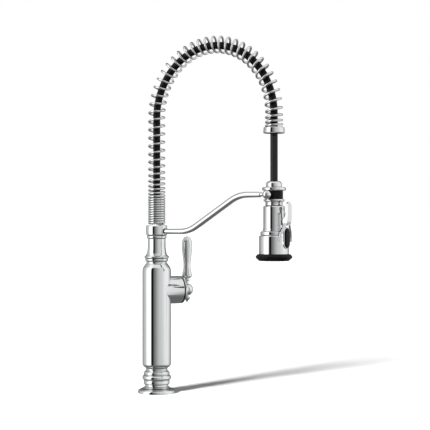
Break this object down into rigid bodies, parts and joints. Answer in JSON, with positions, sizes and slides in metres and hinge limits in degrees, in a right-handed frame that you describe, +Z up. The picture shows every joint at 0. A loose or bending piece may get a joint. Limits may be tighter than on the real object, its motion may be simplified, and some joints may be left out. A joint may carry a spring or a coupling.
{
  "type": "pull down kitchen faucet",
  "caption": "Tall chrome kitchen faucet with a turned column, side lever, spring-wrapped hose arch, docking arm and pull-down spray head.",
  "frame": {"origin": "centre of the base on the deck, on the column's axis", "axes": "+Z up along the column; the spout reaches towards -Y; the handle's side is +X"},
  "size_m": [0.0935, 0.2998, 0.6248],
  "materials": {
    "polished_chrome": "mirror polished chrome plate",
    "black_rubber": "satin black elastomer",
    "grey_hose": "smooth dark grey hose jacket",
    "brass": "machined, unplated",
    "copper": "drawn copper tube",
    "steel": "bright machined steel",
    "white_plastic": "moulded acetal",
    "ceramic": "white valve cartridge housing"
  },
  "bodies": {
    "body": {"deck_gasket": "black_rubber", "base_flange": "polished_chrome", "pedestal": "polished_chrome", "mounting_stud": "steel", "body_shell": "polished_chrome", "shoulder_ring": "polished_chrome", "swivel_bushing": "white_plastic", "hot_inlet_tube": "copper", "cold_inlet_tube": "copper", "valve_manifold": "brass", "outlet_tube": "brass", "ceramic_cartridge": "ceramic", "cartridge_nut": "brass"},
    "handle_hub": {"bonnet": "polished_chrome", "cartridge_stem": "steel", "lever_hub": "polished_chrome", "hub_set_screw": "steel", "hub_pivot_pin": "steel", "lever_finial": "polished_chrome"},
    "handle_lever": {"lever_handle": "polished_chrome"},
    "spout": {"neck_tube": "polished_chrome", "swivel_o_ring_1": "black_rubber", "swivel_o_ring_2": "black_rubber", "swivel_retainer": "steel", "lower_collar_ring": "polished_chrome", "dock_collar": "polished_chrome", "collar_set_screw": "steel", "support_arm": "polished_chrome", "dock_ball": "polished_chrome", "dock_magnet": "steel", "spring_guide": "white_plastic", "hose_inlet_fitting": "brass", "arch_hose": "grey_hose", "arch_spring": "polished_chrome", "spring_ferrule": "polished_chrome", "hose_bushing": "black_rubber"},
    "hose_end": {"drop_hose": "grey_hose", "hose_nut": "polished_chrome", "hose_nipple": "brass"},
    "spray_head": {"head_top_flange": "polished_chrome", "magnet_ring": "black_rubber", "head_neck": "polished_chrome", "head_core": "white_plastic", "head_barrel": "polished_chrome", "step_ring": "polished_chrome", "lower_barrel": "polished_chrome", "nozzle_ring": "black_rubber", "spray_face": "black_rubber", "stream_aerator": "steel", "diverter_body": "white_plastic", "check_valve": "white_plastic", "lever_pin": "steel", "button_housing": "polished_chrome", "button_spring": "steel", "barrel_screw_1": "steel", "barrel_screw_2": "steel", "barrel_rib_1": "polished_chrome", "barrel_rib_2": "polished_chrome"},
    "spray_lever": {"spray_lever": "polished_chrome"},
    "spray_button": {"spray_button": "black_rubber"}
  },
  "joints": [
    {"name": "spout_swivel", "type": "hinge", "parent": "body", "child": "spout", "pos_m": [0, 0, 0.2389], "axis": [0, 0, 1], "continuous": true},
    {"name": "handle_temperature", "type": "hinge", "parent": "body", "child": "handle_hub", "pos_m": [0, 0, 0.182], "axis": [0.829, -0.5592, 0], "range_deg": [-45, 45]},
    {"name": "handle_flow", "type": "hinge", "parent": "handle_hub", "child": "handle_lever", "pos_m": [0.04916, -0.03316, 0.182], "axis": [0.5592, 0.829, 0], "range_deg": [0, 24]},
    {"name": "head_pull", "type": "slide", "parent": "spout", "child": "hose_end", "axis": [0.6548, -0.0431, -0.7546], "range_m": [0, 0.12], "stiffness_N_per_m": 60, "springref_m": -0.25, "deforming": ["drop_hose"]},
    {"name": "head_spin", "type": "hinge", "parent": "hose_end", "child": "spray_head", "pos_m": [0, -0.235, 0.3629], "axis": [0, 0, 1], "continuous": true},
    {"name": "spray_lever_press", "type": "hinge", "parent": "spray_head", "child": "spray_lever", "pos_m": [-0.00232, -0.25909, 0.3063], "axis": [-0.9954, 0.0958, 0], "range_deg": [0, 7], "stiffness_Nm_per_rad": 0.6, "springref_deg": -5.73},
    {"name": "spray_button_press", "type": "slide", "parent": "spray_head", "child": "spray_button", "axis": [0.0958, 0.9954, 0], "range_m": [0, 0.0022], "stiffness_N_per_m": 800, "springref_m": -0.001, "deforming": ["button_spring"]}
  ]
}
